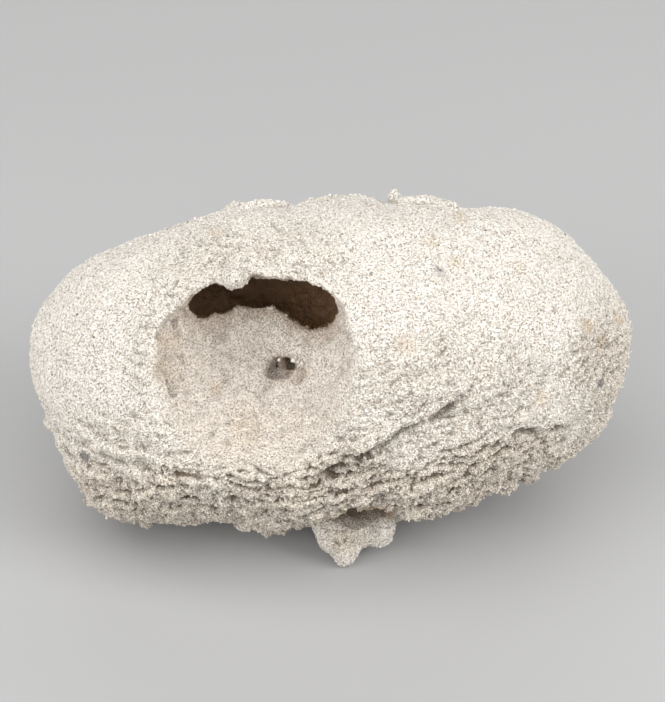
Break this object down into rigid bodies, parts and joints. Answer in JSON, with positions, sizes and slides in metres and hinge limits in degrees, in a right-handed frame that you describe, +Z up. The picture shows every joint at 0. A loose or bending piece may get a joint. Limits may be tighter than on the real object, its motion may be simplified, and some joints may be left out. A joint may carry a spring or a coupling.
{
  "type": "fossil weevil cocoon",
  "caption": "Egg-shaped fossil insect cocoon of cemented pale shell sand, lying on its side, with a wide emergence hole open to its chamber and a broken spur below.",
  "frame": {"origin": "on the ground, under the middle of the cocoon's bounding box", "axes": "+X along the cocoon's length, +Z up, -Y towards the side its hole faces; the cocoon rests on the worn flat at z = 0"},
  "size_m": [0.0453, 0.0259, 0.0252],
  "materials": {
    "shell_sand": "matte"
  },
  "bodies": {
    "root": {"cocoon": "shell_sand"}
  },
  "joints": []
}
